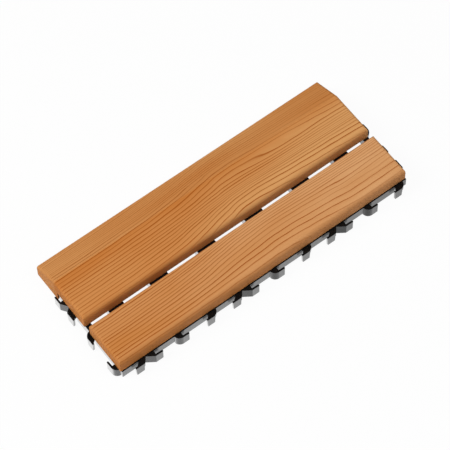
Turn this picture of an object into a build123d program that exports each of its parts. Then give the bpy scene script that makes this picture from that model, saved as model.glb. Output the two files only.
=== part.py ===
from build123d import *
from math import atan2, degrees
import os

# A click-together floor tile with a bevelled edge, for a sauna or a wet room.
# Two boards are screwed from below onto one moulded grid that has click connectors on three sides.
# The origin is on the floor, at the middle of the overall length and depth.
# +X runs along the boards, +Y from the connector side to the bevelled edge, +Z up.

# Boards
boards_shift = 0.8           # how far the boards, as long as the grid, sit to the left of its middle
narrow_width = 44.0
wide_width = 70.0
board_gap = 7.5              # drain gap between the two boards
board_thickness = 15.0
front_round = 5.0            # radius of both boards' front top edges
rear_round = 2.0             # radius of the narrow board's rear top edge
edge_round = 1.5             # radius of the boards' other long edges
end_round = 3.0              # radius of the top edges at the ends
bevel_width = 26.5           # sloping top along the back
bevel_drop = 12.0            # how far that slope falls
bevel_round = 6.0            # soft change from the flat top to the slope
skirt_depth = 30.0           # thick back part of the wide board, which reaches the floor

# Grid
module_pitch = 100.0         # one run of connectors
module_count = 3
grid_height = 12.0           # floor to the boards' underside
rim_lift = 2.6               # floor to the lower edge of the rim
rim_wall = 2.0
rim_proud = 0.7              # rim in front of the narrow board
channel = 1.9                # clear space between the rim and the wall behind it
inner_wall = 1.6
flange_plate = 1.6           # the flange that covers this space
skirt_clearance = 0.5        # back of the grid to the wide board's skirt

# Cross rails that carry the boards, half a run apart
outer_rail_shift = 6.0       # the outermost rails lie this much nearer to the middle
rail_width = 18.5
outer_rail_width = 15.0
rail_plate = 2.5
rail_web = 1.6
rib_wall = 1.6               # long ribs, at the quarter lines of what each board rests on
rib_lift = 5.0

# Click connectors
reach = 5.0                  # how far they stand out from the rim
clip_wall = 1.8
clip_lift = 0.5              # clear of the floor
hook_spread = 7.5            # slanted length of an angular hook, along the side
hook_run = 7.6               # straight length behind its mouth
tab_spread = 4.1             # the same for an angular tab
tab_run = 8.8
slant_inset = 1.0            # the slants start this far behind the rim's face
bend_radius = 5.0            # round hooks and tabs
bend_run = 6.5
mouth_drop = 0.5             # the hooks' tops fall towards the mouth
mouth_ramp = 4.0
tab_shoulder = 4.5           # height of a tab's root, and below it the lip hangs free
lip_taper = 0.7              # the lips get narrower towards the floor
front_lip_free = 6.0         # length of an angular lip that hangs in front of the rim, front and right sides
left_lip_free = 2.0          # the same on the left side
round_lip_free = 4.0         # the same for round tabs
lip_past = 1.8               # a round tab's lip starts this far inside the bend
floor_short = 1.0            # the floor inside a tab ends this far from the lip's tip
clip_floor = 1.8             # thickness of the floor inside a connector
clip_floor_drop = 0.9        # that floor lies this far below the top
floor_past = 1.0             # it ends this far past the bend of a hook, where the rim starts again

# Places of the connectors, from the start of a run
front_pair = 23.6            # angular tab and hook on one root, front and right sides
front_hook = 54.2
front_tab = 4.6              # from the end of a run, front side
left_pair = 75.8             # the matching ones of the left side, from the front corner
left_tab = 46.4
left_hook = 4.1

# Screws
screw_shank = 3.6
screw_head = 7.4
screw_head_height = 2.4
screw_grip = 10.0            # length in the wood
screw_point = 3.0            # narrower, blunt end of the shank
point_width = 2.4
recess_length = 4.0          # cross recess
recess_width = 0.9
recess_depth = 1.2
pilot_clearance = 0.1        # hole in the wood around the shank
hole_clearance = 0.6         # hole in the grid around the shank
head_clearance = 1.0         # pocket in the foot around the head
foot_wall = 1.8

# Places that follow from the sizes above
grid_length = module_pitch * module_count
overall_depth = reach + rim_proud + narrow_width + board_gap + wide_width
overall_height = grid_height + board_thickness
rim_front = reach - overall_depth / 2
narrow_front = rim_front + rim_proud
narrow_back = narrow_front + narrow_width
wide_front = narrow_back + board_gap
wide_back = wide_front + wide_width
skirt_front = wide_back - skirt_depth
grid_back = skirt_front - skirt_clearance
inner_inset = rim_wall + channel
root_inset = inner_inset + inner_wall / 4
clip_line = reach - clip_wall / 2
floor_top = grid_height - clip_floor_drop
rail_under = grid_height - rail_plate
pilot_width = screw_shank + pilot_clearance
pocket_width = screw_head + head_clearance
foot_width = pocket_width + 2 * foot_wall
inside = inner_inset + inner_wall
bearings = ((rim_front + inside, narrow_back), (wide_front, grid_back - inside))
board_middles = [(low + high) / 2 for low, high in bearings]


def rail_list():
    # Each rail's place along X and its width
    count = 2 * module_count
    pitch = module_pitch / 2
    outermost = (count - 1) / 2 * pitch - outer_rail_shift
    inner = [((k - (count - 1) / 2) * pitch, rail_width) for k in range(1, count - 1)]
    return [(-outermost, outer_rail_width)] + inner + [(outermost, outer_rail_width)]


rails = rail_list()
foot_spots = [(x, y) for x, width in rails for y in board_middles]
screw_spots = [(x, y) for x in (rails[0][0], rails[-1][0]) for y in board_middles]


def upright_cylinder(width, height):
    return Cylinder(width / 2, height, align=(Align.CENTER, Align.CENTER, Align.MIN))


def upright_block(length, width, height):
    return Box(length, width, height, align=(Align.CENTER, Align.CENTER, Align.MIN))


def block(x_low, x_high, y_low, y_high):
    # A flat rectangle from its limits
    corners = [(x_low, y_low), (x_high, y_low), (x_high, y_high), (x_low, y_high)]
    return make_face(Polyline(*corners, close=True))


def raised(face, low, high):
    return extrude(Pos(0, 0, low) * face, amount=high - low)


def rounded_ends(place):
    # A slab as long as a board, its top in the plane of place and rounded down at both ends
    half = grid_length / 2
    points = [(-half, -overall_depth), (half, -overall_depth), (half, 0), (-half, 0)]
    face = Plane.XZ * make_face(FilletPolyline(*points, radius=[0, 0, end_round, end_round], close=True))
    return place * extrude(face, amount=2 * overall_depth, both=True)


def board(points, radii, tops):
    # A board's section, carried along X, rounded at the ends of each top face, with its pilot holes drilled
    section = Plane.YZ * make_face(FilletPolyline(*points, radius=radii, close=True))
    body = extrude(section, amount=grid_length, both=True)
    for place in tops:
        body = body & rounded_ends(Pos(-boards_shift, 0, 0) * place)
    drill = upright_cylinder(pilot_width, screw_grip + pilot_clearance)
    return body - [Pos(x, y, grid_height) * drill for x, y in screw_spots]


def narrow_board():
    points = [
        (narrow_front, grid_height),
        (narrow_front, overall_height),
        (narrow_back, overall_height),
        (narrow_back, grid_height),
    ]
    return board(points, [edge_round, front_round, rear_round, edge_round], [Pos(0, 0, overall_height)])


def wide_board():
    bevel_low = overall_height - bevel_drop
    points = [
        (wide_front, grid_height),
        (wide_front, overall_height),
        (wide_back - bevel_width, overall_height),
        (wide_back, bevel_low),
        (wide_back, 0),
        (skirt_front, 0),
        (skirt_front, grid_height),
    ]
    radii = [edge_round, front_round, bevel_round, edge_round, edge_round, edge_round, 0]
    slope = degrees(atan2(bevel_drop, bevel_width))
    bevel = Pos(0, wide_back - bevel_width, overall_height) * Rot(-slope, 0, 0)
    return board(points, radii, [Pos(0, 0, overall_height), bevel])


# The connectors are drawn on one side of the grid: X along the run, -Y outwards, the rim's face at Y = 0.
# Each stands on a root and turns one way along the run: way is 1 towards its end and -1 towards its start.

def angular_line(root, way, spread, run):
    corner = root + way * spread
    tip = corner + way * (run - clip_wall / 2)
    return Polyline((root, root_inset), (root, slant_inset), (corner, -clip_line), (tip, -clip_line))


def round_line(root, way, run):
    tip = root + way * (bend_radius + run - clip_wall / 2)
    return FilletPolyline((root, root_inset), (root, -clip_line), (tip, -clip_line), radius=bend_radius)


def wall(line):
    # A wall of even thickness along a line, with a round tip
    return make_face(offset(line, amount=clip_wall / 2, side=Side.BOTH).edges())


def hook(line, tip, way):
    # A full height wall whose top falls towards its mouth
    body = raised(wall(line), clip_lift, grid_height)
    slope = [
        (tip - way * mouth_ramp, grid_height),
        (tip, grid_height - mouth_drop),
        (tip + way * clip_wall, grid_height - mouth_drop),
        (tip + way * clip_wall, grid_height + mouth_drop),
        (tip - way * mouth_ramp, grid_height + mouth_drop),
    ]
    cut = Plane.XZ * make_face(Polyline(*slope, close=True))
    return body - extrude(cut, amount=reach + clip_wall)


def tab(line, corner, tip):
    # A low wall along the line, and a lip that hangs down from it and reaches to the tip
    body = raised(wall(line), grid_height - tab_shoulder, grid_height)
    way = 1 if corner > tip else -1
    lip = [
        (tip, grid_height),
        (corner, grid_height),
        (corner - way * lip_taper, clip_lift),
        (tip + way * lip_taper, clip_lift),
    ]
    plate = Plane.XZ.offset(reach - clip_wall) * make_face(Polyline(*lip, close=True))
    return body + extrude(plate, amount=clip_wall)


def angular_pair(root, way, lip_free):
    # A hook that turns one way and a tab that turns the other, on one root
    hook_corner = root + way * hook_spread
    hook_tip = hook_corner + way * hook_run
    tab_corner = root - way * tab_spread
    tab_tip = tab_corner - way * tab_run
    floor_end = tab_tip + way * lip_free
    rim_start = hook_corner + way * floor_past
    body = hook(angular_line(root, way, hook_spread, hook_run), hook_tip, way)
    body += tab(angular_line(root, -way, tab_spread, tab_run - clip_wall), tab_corner, tab_tip)
    floor = [
        (floor_end, inner_inset),
        (floor_end, 0),
        (tab_tip + way * floor_short, -clip_line),
        (tab_corner, -clip_line),
        (root, slant_inset),
        (hook_corner, -clip_line),
        (rim_start, -clip_line),
        (rim_start, inner_inset),
    ]
    body += raised(make_face(Polyline(*floor, close=True)), floor_top - clip_floor, floor_top)
    return body, floor_end, rim_start


def round_floor(root, end_points):
    points = [(root, inner_inset), (root, -clip_line)] + end_points
    radii = [0, bend_radius] + [0] * len(end_points)
    face = make_face(FilletPolyline(*points, radius=radii, close=True))
    return raised(face, floor_top - clip_floor, floor_top)


def round_hook(root, way):
    bend = root + way * bend_radius
    body = hook(round_line(root, way, bend_run), bend + way * bend_run, way)
    rim_start = bend + way * floor_past
    body += round_floor(root, [(rim_start, -clip_line), (rim_start, inner_inset)])
    return body, root - way * clip_wall / 2, rim_start


def round_tab(root, way):
    bend = root + way * bend_radius
    tip = bend + way * bend_run
    floor_end = tip - way * round_lip_free
    body = tab(round_line(root, way, bend_run - clip_wall), bend - way * lip_past, tip)
    floor_tip = tip - way * floor_short
    body += round_floor(root, [(floor_tip, -clip_line), (floor_end, 0), (floor_end, inner_inset)])
    return body, root - way * clip_wall / 2, floor_end


def right_run():
    return [angular_pair(front_pair, 1, front_lip_free), round_hook(front_hook, 1)]


def front_run():
    return right_run() + [round_tab(module_pitch - front_tab, -1)]


def left_run():
    pair = angular_pair(-left_pair, -1, left_lip_free)
    return [pair, round_tab(-left_tab, 1), round_hook(-left_hook, -1)]


def side_runs():
    # Each run of connectors with the place where it starts on the grid
    half = grid_length / 2
    runs = [(Pos(-half + k * module_pitch, rim_front, 0), front_run()) for k in range(module_count)]
    runs.append((Location((half, rim_front, 0), (0, 0, 90)), right_run()))
    runs.append((Location((-half, rim_front, 0), (0, 0, -90)), left_run()))
    return runs


def ring(inset, thickness):
    # One wall around the grid, at a distance from its outer face
    low_x = -grid_length / 2 + inset
    low_y = rim_front + inset
    high_y = grid_back - inset
    inner = block(low_x + thickness, -low_x - thickness, low_y + thickness, high_y - thickness)
    return block(low_x, -low_x, low_y, high_y) - inner


def walls(runs):
    # Rim and its flange, broken at the connectors, inner wall, returns between the two and the rails' webs
    low_y = rim_front + inner_inset
    high_y = grid_back - inner_inset
    breaks = []
    uprights = []
    for place, run in runs:
        for clip, start, end in run:
            low = min(start, end)
            high = max(start, end)
            breaks.append(place * block(low, high, -rim_wall, rim_wall))
            uprights.append(place * block(low - rim_wall, low, 0, inner_inset))
            uprights.append(place * block(high, high + rim_wall, 0, inner_inset))
    for x, width in rails:
        uprights.append(block(x - width / 2, x - width / 2 + rail_web, low_y, high_y))
        uprights.append(block(x + width / 2 - rail_web, x + width / 2, low_y, high_y))
    plan = ring(inner_inset, inner_wall) + [ring(0, rim_wall) - breaks] + uprights
    flange = ring(0, inside) - breaks
    return raised(plan, rim_lift, grid_height) + raised(flange, grid_height - flange_plate, grid_height)


def long_ribs():
    half = grid_length / 2 - inner_inset
    lines = [low + (high - low) * share for low, high in bearings for share in (1 / 4, 3 / 4)]
    plans = [block(-half, half, y - rib_wall / 2, y + rib_wall / 2) for y in lines]
    return [raised(plan, rib_lift, grid_height) for plan in plans]


def rail_plates():
    low_y = rim_front + inner_inset
    high_y = grid_back - inner_inset
    plans = [block(x - width / 2, x + width / 2, low_y, high_y) for x, width in rails]
    return [raised(plan, rail_under, grid_height) for plan in plans]


def base_grid():
    # The whole moulding: walls, ribs, rails, click connectors and hollow feet, some of which hold screws
    runs = side_runs()
    clips = [place * clip for place, run in runs for clip, start, end in run]
    foot = upright_block(foot_width, foot_width, grid_height)
    pocket = upright_block(pocket_width, pocket_width, rail_under)
    hole = upright_cylinder(screw_shank + hole_clearance, grid_height)
    feet = [Pos(x, y, 0) * foot for x, y in foot_spots]
    pockets = [Pos(x, y, 0) * pocket for x, y in foot_spots]
    holes = [Pos(x, y, 0) * hole for x, y in screw_spots]
    return walls(runs) + (long_ribs() + rail_plates() + feet + clips) - (pockets + holes)


def screw():
    # Flat head, straight shank and a blunt point, with a cross recess in the head's face
    top = grid_height + screw_grip
    head_low = rail_under - screw_head_height
    outline = [
        (0, head_low),
        (screw_head / 2, head_low),
        (screw_head / 2, rail_under),
        (screw_shank / 2, rail_under),
        (screw_shank / 2, top - screw_point),
        (point_width / 2, top - screw_point),
        (point_width / 2, top),
        (0, top),
    ]
    body = revolve(Plane.XZ * make_face(Polyline(*outline, close=True)), Axis.Z)
    cross = upright_block(recess_length, recess_width, recess_depth)
    cross += upright_block(recess_width, recess_length, recess_depth)
    return body - Pos(0, 0, head_low) * cross


def board_screws():
    one = screw()
    return Compound(children=[Pos(x, y, 0) * one for x, y in screw_spots])


os.makedirs("parts", exist_ok=True)
export_step(narrow_board(), "parts/narrow_board.step")
export_step(wide_board(), "parts/wide_board.step")
export_step(base_grid(), "parts/base_grid.step")
export_step(board_screws(), "parts/board_screws.step")
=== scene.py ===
import bpy
import numpy as np
from mathutils import Matrix, Vector


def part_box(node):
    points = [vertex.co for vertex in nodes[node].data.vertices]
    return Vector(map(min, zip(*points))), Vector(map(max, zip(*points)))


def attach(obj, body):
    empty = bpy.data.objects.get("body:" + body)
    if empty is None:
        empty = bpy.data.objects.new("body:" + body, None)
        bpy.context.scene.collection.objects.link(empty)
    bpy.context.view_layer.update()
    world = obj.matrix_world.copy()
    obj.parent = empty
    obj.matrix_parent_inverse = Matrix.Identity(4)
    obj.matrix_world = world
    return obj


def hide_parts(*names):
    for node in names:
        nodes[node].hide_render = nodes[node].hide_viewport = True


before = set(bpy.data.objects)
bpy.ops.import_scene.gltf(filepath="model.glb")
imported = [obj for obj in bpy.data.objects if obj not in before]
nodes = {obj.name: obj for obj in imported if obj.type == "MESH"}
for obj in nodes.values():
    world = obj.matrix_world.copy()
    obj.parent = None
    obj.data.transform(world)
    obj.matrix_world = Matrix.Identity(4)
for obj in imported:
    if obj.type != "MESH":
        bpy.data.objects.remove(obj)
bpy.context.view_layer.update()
print("frame loaded:", ", ".join(sorted(nodes)))


# Small helpers for colours and shader nodes

def paint(red, green, blue):
    # screen colour 0 to 255 turned into the linear values that sockets take
    c = np.array([red, green, blue], float) / 255
    linear = np.where(c <= 0.04045, c / 12.92, ((c + 0.055) / 1.055) ** 2.4)
    return (*linear.tolist(), 1.0)


def newFinish(name):
    material = bpy.data.materials.new(name)
    material.use_nodes = True
    tree = material.node_tree
    tree.nodes.clear()
    surface = tree.nodes.new("ShaderNodeOutputMaterial").inputs["Surface"]
    return material, tree, surface


def plug(tree, value, socket):
    # a socket takes either a link or a plain value
    if isinstance(value, bpy.types.NodeSocket):
        tree.links.new(value, socket)
    else:
        socket.default_value = value


def add(tree, kind, inputs=None, **settings):
    made = tree.nodes.new(kind)
    for key, value in settings.items():
        setattr(made, key, value)
    for key, value in (inputs or {}).items():
        plug(tree, value, made.inputs[key])
    return made


def calc(tree, operation, *values):
    return add(tree, "ShaderNodeMath", dict(enumerate(values)), operation=operation).outputs[0]


def stretchedNoise(tree, where, scale, detail, roughness, offset=(0.0, 0.0, 0.0)):
    # noise whose grains are stretched: scale is in grains per metre along X, Y and Z
    mapped = add(tree, "ShaderNodeMapping", {"Vector": where, "Scale": scale, "Location": offset})
    noise = add(tree, "ShaderNodeTexNoise", {
        "Vector": mapped.outputs[0], "Scale": 1.0, "Detail": detail, "Roughness": roughness})
    return noise.outputs[0]


def span(tree, value, fromLow, fromHigh, toLow, toHigh):
    # a value carried from one range to another and held at its ends
    return add(tree, "ShaderNodeMapRange", {
        0: value, 1: fromLow, 2: fromHigh, 3: toLow, 4: toHigh}).outputs[0]


def betweenCorners(tree, x, y, ends, corners):
    # a value that changes evenly between four corners: front left, front right, rear left and rear right
    xFrom, xTo, yFrom, yTo = ends
    front = span(tree, x, xFrom, xTo, corners[0], corners[1])
    rear = span(tree, x, xFrom, xTo, corners[2], corners[3])
    return span(tree, y, yFrom, yTo, front, rear)


def ramp(tree, value, stops):
    made = add(tree, "ShaderNodeValToRGB", {0: value})
    made.color_ramp.interpolation = "EASE"
    points = made.color_ramp.elements
    while len(points) < len(stops):
        points.new(0.5)
    for point, (place, height) in zip(points, stops):
        point.position = place
        point.color = (height, height, height, 1.0)
    return made.outputs[0]


def curve(tree, value, stops):
    made = add(tree, "ShaderNodeFloatCurve", {1: value})
    points = made.mapping.curves[0].points
    for place, height in stops[1:-1]:
        points.new(place, height)
    for point, (place, height) in zip(points, stops):
        point.location = (place, height)
    made.mapping.update()
    return made.outputs[0]


def blendColours(tree, share, first, second):
    # sockets 6 and 7 of this node take the colours
    return add(tree, "ShaderNodeMix", {0: share, 6: first, 7: second}, data_type="RGBA").outputs[2]


# Small helpers for surfaces

def newObject(name, points, faces):
    mesh = bpy.data.meshes.new(name)
    mesh.from_pydata(points.tolist(), [], faces)
    mesh.shade_smooth()
    made = bpy.data.objects.new(name, mesh)
    bpy.context.scene.collection.objects.link(made)
    return made


def bandFaces(rows, columns):
    # four-sided faces between rows of points, each row closed on itself
    i, j = np.meshgrid(np.arange(rows - 1), np.arange(columns), indexing="ij")
    k = (j + 1) % columns
    corners = [i * columns + j, i * columns + k, (i + 1) * columns + k, (i + 1) * columns + j]
    return np.stack(corners, 2).reshape(-1, 4)


# Board surfaces

def roundedLoop(corners, radii, steps):
    # closed outline: each corner becomes an arc of its radius, and each point keeps its outward direction.
    # arc point = centre + radius * direction, the direction turning evenly from one side's to the next one's
    corners = np.array(corners, float)
    along = np.roll(corners, -1, 0) - corners
    along /= np.linalg.norm(along, axis=1)[:, None]
    before = np.roll(along, 1, 0)
    cross = before[:, 0] * along[:, 1] - before[:, 1] * along[:, 0]
    turn = np.arctan2(cross, (before * along).sum(1))
    side = np.sign(turn)
    radius = np.array(radii, float)
    start = corners - before * (radius * np.tan(np.abs(turn) / 2))[:, None]
    outward = np.stack([before[:, 1], -before[:, 0]], 1)
    centre = start - outward * (side * radius)[:, None]
    angle = np.arctan2(outward[:, 1], outward[:, 0])[:, None]
    angle = angle + turn[:, None] * np.linspace(0, 1, steps)[None]
    directions = np.stack([np.cos(angle), np.sin(angle)], 2)
    points = centre[:, None] + directions * (side * radius)[:, None, None]
    return points.reshape(-1, 2), directions.reshape(-1, 2)


def carriedBoard(name, loop, outward, xLow, xHigh, endRound, tops, steps):
    # the outline carried along X; towards each end every top plane sinks on a quarter circle:
    # distance from the end = r * (1 - cos t), drop = r * (1 - sin t),
    # and z is the lowest of the outline and the planes
    tiny = 1e-7
    t = np.linspace(0, np.pi / 2, steps)
    x = np.concatenate([xLow + endRound * (1 - np.cos(t)), xHigh - endRound * (1 - np.cos(t[::-1]))])
    drop = endRound * (1 - np.sin(np.concatenate([t, t[::-1]])))[:, None]
    lean = np.concatenate([-np.cos(t), np.cos(t[::-1])])[:, None]
    rows, columns = len(x), len(loop)
    y = np.repeat(loop[None, :, 0], rows, 0)
    z = np.repeat(loop[None, :, 1], rows, 0)
    normals = np.concatenate([np.zeros((rows, columns, 1)), np.repeat(outward[None], rows, 0)], 2)
    for yStart, zStart, slope in tops:
        long = np.hypot(1, slope)
        limit = zStart - slope * (y - yStart) - drop * long
        cut = limit < z - tiny
        flat = np.repeat(np.sqrt(1 - lean ** 2), columns, 1)
        rounded = np.stack([np.repeat(lean, columns, 1), flat * slope / long, flat / long], 2)
        normals = np.where(cut[..., None], rounded, normals)
        z = np.where(cut, limit, z)
    points = np.stack([np.repeat(x[:, None], columns, 1), y, z], 2)
    faces = bandFaces(rows, columns).tolist()
    # the flat ends have points of their own, so that the upright corners stay crisp
    firstEnd = rows * columns
    faces.append((firstEnd + np.arange(columns)[::-1]).tolist())
    faces.append((firstEnd + columns + np.arange(columns)).tolist())
    ends = np.zeros((2, columns, 3))
    ends[0, :, 0] = -1
    ends[1, :, 0] = 1
    allPoints = np.concatenate([points.reshape(-1, 3), points[0], points[-1]])
    allNormals = np.concatenate([normals.reshape(-1, 3), ends.reshape(-1, 3)])
    board = newObject(name, allPoints, faces)
    board.data.normals_split_custom_set_from_vertices(allNormals.tolist())
    return board


# Wood finish: lengths are in metres, a noise is detail and roughness, a span is from, to and the values there

woodCommon = {
    "dark": paint(158, 76, 8), "fibreDark": paint(182, 104, 38),
    # the next line's first colour is painted shade, laid on faces that look to the front
    "paintedFrontShade": paint(168, 96, 38), "endDark": paint(198, 124, 62),
    "fibre": 0.26, "fibreScale": (16.0, 1000.0, 1.0), "fibreNoise": (6.0, 0.68), "fibreRange": (0.3, 0.7),
    "endDeep": 0.5, "endPower": 4.0, "endLine": 0.2, "endShares": (0.2, 0.6),
    # the third entry on the next line is how far the surface turns to the front before the painted front
    # shade begins
    "frontLine": 0.2, "frontCalm": (-1.0, -0.1), "paintedFrontShadeTurn": (-1.0, -0.3), "calmWidth": 0.002,
    "wander": 0.0007, "wanderScale": (9.0, 26.0, 26.0),
    "ripple": 0.0012, "rippleScale": (45.0, 160.0, 160.0), "softNoise": (2.0, 0.5),
    "uneven": 0.55, "unevenDetail": 1.0, "paceScale": 0.5,
    "lateWood": [(0.0, 0.0), (0.48, 0.04), (0.70, 0.22), (0.81, 1.0), (0.89, 0.9), (0.98, 0.0)],
    "lineFaint": 0.65, "lineStrong": 1.1, "fadePacked": (0.55, 1.8, 1.35, 0.62),
    "slowScale": (8.0, 90.0, 90.0), "slowNoise": (2.0, 0.55), "slowLine": (0.3, 0.7, 0.55, 1.2),
    "cloudScale": (7.0, 30.0, 30.0), "cloudTone": (0.25, 0.75, 0.47, 1.05),
    "rough": 0.55, "roughSwing": 0.14, "gloss": 0.04,
    "bump": 0.16, "bumpHeight": 0.0004, "lineRelief": -0.5, "fibreRelief": 0.35,
}


def grainFlow(tree, look, where, x, y, z):
    # growth lines follow X, rise by one curve along it, and by another they gather in a dense zone:
    # place at the left end = y - rise * height + fan * (gather * tanh(t) - opening * t * reach),
    # t = (y - middle) / reach
    share = span(tree, x, look["xLow"], look["xHigh"], 0.0, 1.0)
    rise = curve(tree, share, look["rise"])
    fan = curve(tree, share, look["fan"])
    wander = stretchedNoise(tree, where, look["wanderScale"], *look["softNoise"], look["offset"])
    wander = span(tree, wander, 0.0, 1.0, -look["wander"], look["wander"])
    ripple = stretchedNoise(tree, where, look["rippleScale"], *look["softNoise"], look["offset"])
    wander = calc(tree, "MULTIPLY_ADD", calc(tree, "SUBTRACT", ripple, 0.5), look["ripple"], wander)
    across = calc(tree, "MULTIPLY_ADD", rise, -look["riseHeight"], calc(tree, "ADD", y, wander))
    t = calc(tree, "DIVIDE", calc(tree, "SUBTRACT", y, look["middle"]), look["reach"])
    bent = calc(tree, "TANH", t)
    moved = calc(tree, "MULTIPLY", bent, look["gather"])
    moved = calc(tree, "MULTIPLY_ADD", t, -look["opening"] * look["reach"], moved)
    across = calc(tree, "MULTIPLY_ADD", fan, moved, across)
    # how many times closer the lines lie here than at the left end:
    # packed = 1 + fan * (gather / reach * (1 - tanh(t)^2) - opening)
    packed = calc(tree, "SUBTRACT", 1.0, calc(tree, "MULTIPLY", bent, bent))
    packed = calc(tree, "MULTIPLY_ADD", packed, look["gather"] / look["reach"], -look["opening"])
    packed = calc(tree, "MULTIPLY_ADD", packed, fan, 1.0)
    # below the roundings of the top they also lean through the thickness
    low = calc(tree, "MINIMUM", z, look["zTop"] - look["endRound"])
    depth = calc(tree, "MULTIPLY_ADD", low, look["lean"], across)
    # an eye in the grain pushes the lines apart on both sides by push * v * exp(-(u^2 + v^2)),
    # u along and v across from its middle, counted in its sizes
    u = calc(tree, "DIVIDE", calc(tree, "SUBTRACT", x, look["eye"][0]), look["eyeSize"][0])
    v = calc(tree, "DIVIDE", calc(tree, "SUBTRACT", y, look["eye"][1]), look["eyeSize"][1])
    away = calc(tree, "ADD", calc(tree, "MULTIPLY", u, u), calc(tree, "MULTIPLY", v, v))
    bulge = calc(tree, "MULTIPLY", calc(tree, "EXPONENT", calc(tree, "MULTIPLY", away, -1.0)), v)
    depth = calc(tree, "MULTIPLY_ADD", bulge, -look["eyePush"], depth)
    return share, rise, packed, depth


def grainLines(tree, look, where, x, y, rise, packed, depth):
    # rings of uneven width that crowd towards the rear: rings = d * (1 + crowd * d) / width,
    # d being the depth from where the widest ring lies
    fromWide = calc(tree, "SUBTRACT", depth, look["crowdFrom"])
    crowd = calc(tree, "MULTIPLY_ADD", fromWide, look["crowd"], 1.0)
    rings = calc(tree, "DIVIDE", calc(tree, "MULTIPLY", fromWide, crowd), look["ringWidth"])
    pace = calc(tree, "MULTIPLY_ADD", rings, look["paceScale"], look["pace"])
    uneven = add(tree, "ShaderNodeTexNoise", {
        "W": pace, "Scale": 1.0, "Detail": look["unevenDetail"]}, noise_dimensions="1D").outputs[0]
    rings = calc(tree, "MULTIPLY_ADD", uneven, look["uneven"], rings)
    # the dark part keeps its width where the rings are wide: 1 - (1 - phase) / packed
    phase = calc(tree, "SUBTRACT", 1.0, calc(tree, "FRACT", rings))
    phase = calc(tree, "SUBTRACT", 1.0, calc(tree, "DIVIDE", phase, packed))
    # late wood: a slow rise to a thin dark line, then a quick fall
    line = ramp(tree, phase, look["lateWood"])
    # each ring has a strength of its own, which comes and goes along it and changes over the board
    ring = calc(tree, "FLOOR", rings)
    own = add(tree, "ShaderNodeTexWhiteNoise", {"W": ring}, noise_dimensions="1D").outputs[0]
    slow = stretchedNoise(tree, where, look["slowScale"], *look["slowNoise"], look["offset"])
    for strength in (
            span(tree, own, 0.0, 1.0, look["lineFaint"], look["lineStrong"]),
            span(tree, slow, *look["slowLine"]),
            span(tree, packed, *look["fadePacked"]),
            span(tree, rise, 0.0, 1.0, 1.0, look["crestLine"]),
            betweenCorners(tree, x, y, look["lineEnds"], look["lineCorners"])):
        line = calc(tree, "MULTIPLY", line, strength)
    return line


def oiledWood(name, look):
    material, tree, surface = newFinish(name)
    where = add(tree, "ShaderNodeTexCoord").outputs["Object"]
    x, y, z = add(tree, "ShaderNodeSeparateXYZ", {0: where}).outputs
    share, rise, packed, depth = grainFlow(tree, look, where, x, y, z)
    line = grainLines(tree, look, where, x, y, rise, packed, depth)
    # front faces, rounded ends and the bevel are calm
    normal = add(tree, "ShaderNodeNewGeometry").outputs["Normal"]
    facing = add(tree, "ShaderNodeSeparateXYZ", {0: normal}).outputs
    fromLow = calc(tree, "SUBTRACT", x, look["xLow"])
    fromHigh = calc(tree, "SUBTRACT", look["xHigh"], x)
    fromEnd = calc(tree, "MINIMUM", fromLow, fromHigh)
    endFrom, endTo = [part * look["endRound"] for part in look["endShares"]]
    calm = span(tree, y, look["calmFrom"], look["calmFrom"] + look["calmWidth"], 0.0, 1.0)
    for strength in (
            span(tree, facing[1], *look["frontCalm"], look["frontLine"], 1.0),
            span(tree, fromEnd, endFrom, endTo, look["endLine"], 1.0),
            span(tree, calm, 0.0, 1.0, 1.0, look["calmLine"])):
        line = calc(tree, "MULTIPLY", line, strength)
    # fibres follow the flow of the lines
    flow = add(tree, "ShaderNodeCombineXYZ", {0: x, 1: depth}).outputs[0]
    fibre = stretchedNoise(tree, flow, look["fibreScale"], *look["fibreNoise"])
    # the ground goes between a light and a warm tone in clouds and over the board
    cloud = stretchedNoise(tree, where, look["cloudScale"], *look["softNoise"], look["offset"])
    tone = betweenCorners(tree, x, y, look["toneEnds"], look["toneCorners"])
    tone = calc(tree, "ADD", span(tree, cloud, *look["cloudTone"]), tone)
    shift = calc(tree, "MULTIPLY_ADD", share, look["calmDeeper"], look["calmTone"])
    tone = add(tree, "ShaderNodeClamp", {0: calc(tree, "MULTIPLY_ADD", calm, shift, tone)}).outputs[0]
    body = blendColours(tree, tone, look["light"], look["warm"])
    body = blendColours(tree, line, body, look["dark"])
    fibreShare = span(tree, fibre, *look["fibreRange"], 0.0, look["fibre"])
    body = blendColours(tree, fibreShare, body, look["fibreDark"])
    # painted shade: faces that look to the front are darkened towards a shade colour, and end grain is a
    # little deeper in colour
    front = span(tree, facing[1], *look["paintedFrontShadeTurn"], look["paintedFrontShadeShare"], 0.0)
    body = blendColours(tree, front, body, look["paintedFrontShade"])
    ends = calc(tree, "POWER", calc(tree, "ABSOLUTE", facing[0]), look["endPower"])
    body = blendColours(tree, calc(tree, "MULTIPLY", ends, look["endDeep"]), body, look["endDark"])
    height = calc(tree, "MULTIPLY", fibre, look["fibreRelief"])
    height = calc(tree, "MULTIPLY_ADD", line, look["lineRelief"], height)
    bump = add(tree, "ShaderNodeBump", {
        "Height": height, "Strength": look["bump"], "Distance": look["bumpHeight"]})
    shader = add(tree, "ShaderNodeBsdfPrincipled", {
        "Base Color": body, "Roughness": calc(tree, "MULTIPLY_ADD", fibre, look["roughSwing"], look["rough"]),
        "Specular IOR Level": look["gloss"], "Normal": bump.outputs[0]})
    tree.links.new(shader.outputs[0], surface)
    return material


# Narrow board; it has no bevel, so calmFrom lies outside it

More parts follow.
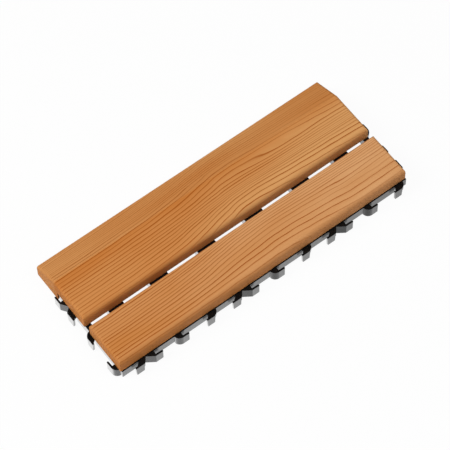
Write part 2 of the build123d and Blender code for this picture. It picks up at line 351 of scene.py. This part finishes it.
narrowBoard = {
    "frontRound": 0.005, "rearRound": 0.002, "edgeRound": 0.0015, "endRound": 0.0030,
    "cornerSteps": 8, "endSteps": 9,
    "light": paint(233, 178, 124), "warm": paint(205, 132, 66),
    "rise": [(0.0, 0.0), (0.16, 0.055), (0.31, 0.247), (0.42, 0.63), (0.52, 0.90), (0.60, 1.0),
             (0.68, 0.895), (0.78, 0.716), (0.87, 0.572), (1.0, 0.58)],
    "fan": [(0.0, 0.0), (0.16, 0.05), (0.31, 0.25), (0.42, 0.6), (0.52, 0.85), (0.60, 0.95),
            (0.78, 1.0), (1.0, 1.0)],
    "riseHeight": 0.0079, "opening": 0.46, "gather": 0.0096, "reach": 0.012, "middle": -0.018,
    "lean": -1.5, "offset": (3.1, 1.7, 0.4), "pace": 7.3,
    "ringWidth": 0.00346, "crowdFrom": -0.094, "crowd": 4.4,
    "lineEnds": (-0.05, 0.05, -0.050, -0.017), "lineCorners": (1.2, 0.74, 1.0, 0.85), "crestLine": 1.0,
    "toneEnds": (-0.076, 0.071, -0.050, -0.017), "toneCorners": (0.0, -0.58, -0.08, -0.70),
    # how much painted shade darkens the faces of this board that look to the front
    "paintedFrontShadeShare": 0.45,
    "eye": (0.105, -0.030), "eyeSize": (0.018, 0.0035), "eyePush": 0.0026,
    "calmFrom": 1.0, "calmLine": 1.0, "calmTone": 0.0, "calmDeeper": 0.0,
}


def makeNarrowBoard(piece):
    low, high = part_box("narrow_board")
    corners = [(low.y, low.z), (high.y, low.z), (high.y, high.z), (low.y, high.z)]
    radii = [piece["edgeRound"], piece["edgeRound"], piece["rearRound"], piece["frontRound"]]
    loop, outward = roundedLoop(corners, radii, piece["cornerSteps"])
    tops = [(low.y, high.z, 0.0)]
    board = carriedBoard(
        "narrowBoardWood", loop, outward, low.x, high.x, piece["endRound"], tops, piece["endSteps"])
    board.data.materials.append(oiledWood("narrow board wood", {
        **woodCommon, **piece, "xLow": low.x, "xHigh": high.x, "zTop": high.z}))
    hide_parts("narrow_board")
    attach(board, "root")
    print("narrow board:", len(board.data.polygons), "faces")


makeNarrowBoard(narrowBoard)


# Wide board, with its bevel and its skirt

wideBoard = {
    "frontRound": 0.005, "edgeRound": 0.0015, "endRound": 0.0030, "insideRound": 0.0003,
    "bevelWidth": 0.0265, "bevelDrop": 0.012, "bevelRound": 0.006, "skirtDepth": 0.030, "thickness": 0.015,
    "cornerSteps": 8, "endSteps": 9,
    "light": paint(228, 170, 108), "warm": paint(204, 125, 58),
    "rise": [(0.0, 0.0), (0.16, 0.035), (0.31, 0.172), (0.42, 0.44), (0.52, 0.816), (0.60, 1.0),
             (0.66, 0.936), (0.73, 0.804), (0.80, 0.713), (0.90, 0.616), (1.0, 0.494)],
    "fan": [(0.0, 0.0), (0.31, 0.2), (0.42, 0.55), (0.52, 0.85), (0.60, 1.0), (1.0, 1.0)],
    "riseHeight": 0.0108, "opening": 0.30, "gather": 0.0072, "reach": 0.006, "middle": 0.015,
    "lean": -1.5, "offset": (0.0, 0.0, 0.0), "pace": 2.1,
    "ringWidth": 0.0032, "crowdFrom": -0.0436, "crowd": 0.0,
    "lineEnds": (-0.05, 0.08, 0.0, 0.036), "lineCorners": (0.98, 0.93, 1.0, 0.51), "crestLine": 1.6,
    "toneEnds": (-0.076, 0.071, 0.002, 0.036), "toneCorners": (-0.10, -0.86, 0.20, -0.26),
    "paintedFrontShadeShare": 0.0,
    "eye": (0.080, 0.0296), "eyeSize": (0.040, 0.0055), "eyePush": 0.0034,
    "calmFrom": 0.036, "calmLine": 0.85, "calmTone": -0.66, "calmDeeper": 0.75,
}


def makeWideBoard(piece):
    low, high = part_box("wide_board")
    under = high.z - piece["thickness"]
    skirt = high.y - piece["skirtDepth"]
    bevel = high.y - piece["bevelWidth"]
    corners = [
        (low.y, under), (skirt, under), (skirt, low.z), (high.y, low.z),
        (high.y, high.z - piece["bevelDrop"]), (bevel, high.z), (low.y, high.z)]
    edge = piece["edgeRound"]
    radii = [edge, piece["insideRound"], edge, edge, edge, piece["bevelRound"], piece["frontRound"]]
    loop, outward = roundedLoop(corners, radii, piece["cornerSteps"])
    tops = [(low.y, high.z, 0.0), (bevel, high.z, piece["bevelDrop"] / piece["bevelWidth"])]
    board = carriedBoard(
        "wideBoardWood", loop, outward, low.x, high.x, piece["endRound"], tops, piece["endSteps"])
    board.data.materials.append(oiledWood("wide board wood", {
        **woodCommon, **piece, "xLow": low.x, "xHigh": high.x, "zTop": high.z}))
    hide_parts("wide_board")
    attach(board, "root")
    print("wide board:", len(board.data.polygons), "faces")


makeWideBoard(wideBoard)


# Moulded grid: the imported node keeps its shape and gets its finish

gridLook = {
    "deep": (0.0008, 0.0008, 0.0009, 1.0), "worn": (0.0030, 0.0030, 0.0032, 1.0),
    "rough": 0.30, "roughSwing": 0.16, "lens": 1.28,
    "shine": [(0.0, 0.0), (0.40, 0.02), (0.60, 0.178), (0.74, 0.86), (1.0, 1.0)],
    "shineRough": 0.16, "facingBlend": 0.5,
    "flow": (60.0, 60.0, 160.0), "flowNoise": (3.0, 0.5), "flowRange": (0.3, 0.7),
    "speckle": (2600.0, 2600.0, 2600.0), "speckleNoise": (2.0, 0.5), "bump": 0.10, "bumpHeight": 0.0001,
}


def glossyPlastic(name, look):
    # near black plastic under a polished skin whose shine rises steeply towards grazing light
    material, tree, surface = newFinish(name)
    where = add(tree, "ShaderNodeTexCoord").outputs["Object"]
    flow = stretchedNoise(tree, where, look["flow"], *look["flowNoise"])
    speckle = stretchedNoise(tree, where, look["speckle"], *look["speckleNoise"])
    wear = span(tree, flow, *look["flowRange"], 0.0, 1.0)
    bump = add(tree, "ShaderNodeBump", {
        "Height": speckle, "Strength": look["bump"], "Distance": look["bumpHeight"]})
    shader = add(tree, "ShaderNodeBsdfPrincipled", {
        "Base Color": blendColours(tree, wear, look["deep"], look["worn"]),
        "Roughness": calc(tree, "MULTIPLY_ADD", flow, look["roughSwing"], look["rough"]),
        "IOR": look["lens"], "Normal": bump.outputs[0]})
    skin = add(tree, "ShaderNodeBsdfGlossy", {"Roughness": look["shineRough"]})
    facing = add(tree, "ShaderNodeLayerWeight", {0: look["facingBlend"]}).outputs["Facing"]
    shine = curve(tree, facing, look["shine"])
    mix = add(tree, "ShaderNodeMixShader", {0: shine, 1: shader.outputs[0], 2: skin.outputs[0]})
    tree.links.new(mix.outputs[0], surface)
    return material


def dress(nodeName, material):
    mesh = nodes[nodeName].data
    mesh.materials.clear()
    mesh.materials.append(material)


dress("base_grid", glossyPlastic("moulded grid plastic", gridLook))
print("grid dressed")


# Screws, seen only from below

screwLook = {
    "bright": (0.62, 0.61, 0.59, 1.0), "dull": (0.40, 0.39, 0.38, 1.0), "rough": 0.22, "roughSwing": 0.25,
    "turned": (900.0, 900.0, 4000.0), "turnedNoise": (2.0, 0.6),
}


def turnedSteel(name, look):
    material, tree, surface = newFinish(name)
    where = add(tree, "ShaderNodeTexCoord").outputs["Object"]
    marks = stretchedNoise(tree, where, look["turned"], *look["turnedNoise"])
    shader = add(tree, "ShaderNodeBsdfPrincipled", {
        "Base Color": blendColours(tree, marks, look["dull"], look["bright"]),
        "Roughness": calc(tree, "MULTIPLY_ADD", marks, look["roughSwing"], look["rough"]), "Metallic": 1.0})
    tree.links.new(shader.outputs[0], surface)
    return material


dress("board_screws", turnedSteel("turned screw steel", screwLook))
print("screws dressed")


# Floor and backdrop: white for the eye and for reflections, and the floor keeps the shadow

studio = {
    "rings": (0.02, 1.0, 3.0), "radius": 7.0, "bend": 1.6, "bendSteps": 12, "wall": 2.2, "sides": 64,
    "drop": 0.0002,
    "matte": (0.92, 0.92, 0.92, 1.0), "white": (1.0, 1.0, 1.0, 1.0), "lift": 0.94, "world": 0.05,
    "dimRight": (-0.08, 0.16, 0.0, 0.42),
    "lamps": [
        ("key", (-1.30, 0.55, 1.60), 1.3, 26.6),
        ("top", (0.10, -0.45, 2.10), 1.3, 15.0),
        ("front", (0.70, -1.20, 1.90), 1.2, 10.5),
    ],
}


def paleBackdrop(name, look):
    material, tree, surface = newFinish(name)
    matte = add(tree, "ShaderNodeBsdfDiffuse", {0: look["matte"]})
    path = add(tree, "ShaderNodeLightPath").outputs
    where = add(tree, "ShaderNodeTexCoord").outputs["Object"]
    x = add(tree, "ShaderNodeSeparateXYZ", {0: where}).outputs[0]
    # reflections of the floor are dimmer to the right
    dim = calc(tree, "MULTIPLY", span(tree, x, *look["dimRight"]), path["Is Glossy Ray"])
    glow = add(tree, "ShaderNodeEmission", {0: look["white"], 1: calc(tree, "SUBTRACT", 1.0, dim)})
    seen = calc(tree, "MAXIMUM", path["Is Camera Ray"], path["Is Glossy Ray"])
    seen = calc(tree, "MAXIMUM", seen, path["Is Transmission Ray"])
    lift = calc(tree, "MULTIPLY", seen, look["lift"])
    mix = add(tree, "ShaderNodeMixShader", {0: lift, 1: matte.outputs[0], 2: glow.outputs[0]})
    tree.links.new(mix.outputs[0], surface)
    return material


def makeBackdrop(look):
    # a round floor that bends up into a wall: radius and height along one line, turned about Z
    bend = look["bend"]
    t = np.linspace(0, np.pi / 2, look["bendSteps"])
    radius = np.concatenate([look["rings"], look["radius"] - bend * (1 - np.sin(t)), [look["radius"]]])
    height = np.concatenate([np.zeros(len(look["rings"])), bend * (1 - np.cos(t)), [look["wall"]]])
    angle = np.linspace(0, 2 * np.pi, look["sides"] + 1)[:-1]
    rows, columns = len(radius), len(angle)
    points = np.stack([
        radius[:, None] * np.cos(angle)[None], radius[:, None] * np.sin(angle)[None],
        np.repeat(height[:, None] - look["drop"], columns, 1)], 2).reshape(-1, 3)
    # the corners go the other way round, so that the faces look inwards
    faces = bandFaces(rows, columns)[:, [0, 3, 2, 1]].tolist()
    faces.append(np.arange(columns).tolist())
    backdrop = newObject("backdrop", points, faces)
    backdrop.data.materials.append(paleBackdrop("pale backdrop", look))


def makeLamps(look):
    for name, place, size, power in look["lamps"]:
        data = bpy.data.lights.new(name, "AREA")
        data.shape = "DISK"
        data.size = size
        data.energy = power
        lamp = bpy.data.objects.new(name, data)
        lamp.location = place
        lamp.rotation_euler = (-Vector(place)).to_track_quat("-Z", "Y").to_euler()
        bpy.context.scene.collection.objects.link(lamp)
    world = bpy.data.worlds.new("studio")
    world.use_nodes = True
    background = world.node_tree.nodes["Background"]
    background.inputs[0].default_value = look["white"]
    background.inputs[1].default_value = look["world"]
    bpy.context.scene.world = world


makeBackdrop(studio)
makeLamps(studio)
print("studio built")


# Camera at the photograph's angle

view = {
    "place": (-0.5676, -0.8104, 1.8523), "forward": (0.2716, 0.3879, -0.8808), "roll": -2.157,
    "lens": 196.8, "sensor": 36.0, "far": 100.0,
}


def makeCamera(look):
    forward = Vector(look["forward"]).normalized()
    level = forward.cross(Vector((0.0, 0.0, 1.0))).normalized()
    lift = level.cross(forward)
    roll = np.radians(look["roll"])
    right = level * np.cos(roll) + lift * np.sin(roll)
    up = lift * np.cos(roll) - level * np.sin(roll)
    data = bpy.data.cameras.new("camera")
    data.lens = look["lens"]
    data.sensor_width = look["sensor"]
    data.clip_end = look["far"]
    camera = bpy.data.objects.new("camera", data)
    turn = Matrix((right, up, -forward)).transposed()
    camera.matrix_world = Matrix.Translation(look["place"]) @ turn.to_4x4()
    bpy.context.scene.collection.objects.link(camera)
    bpy.context.scene.camera = camera


makeCamera(view)
bpy.context.scene.view_settings.view_transform = "Standard"
print("camera placed")
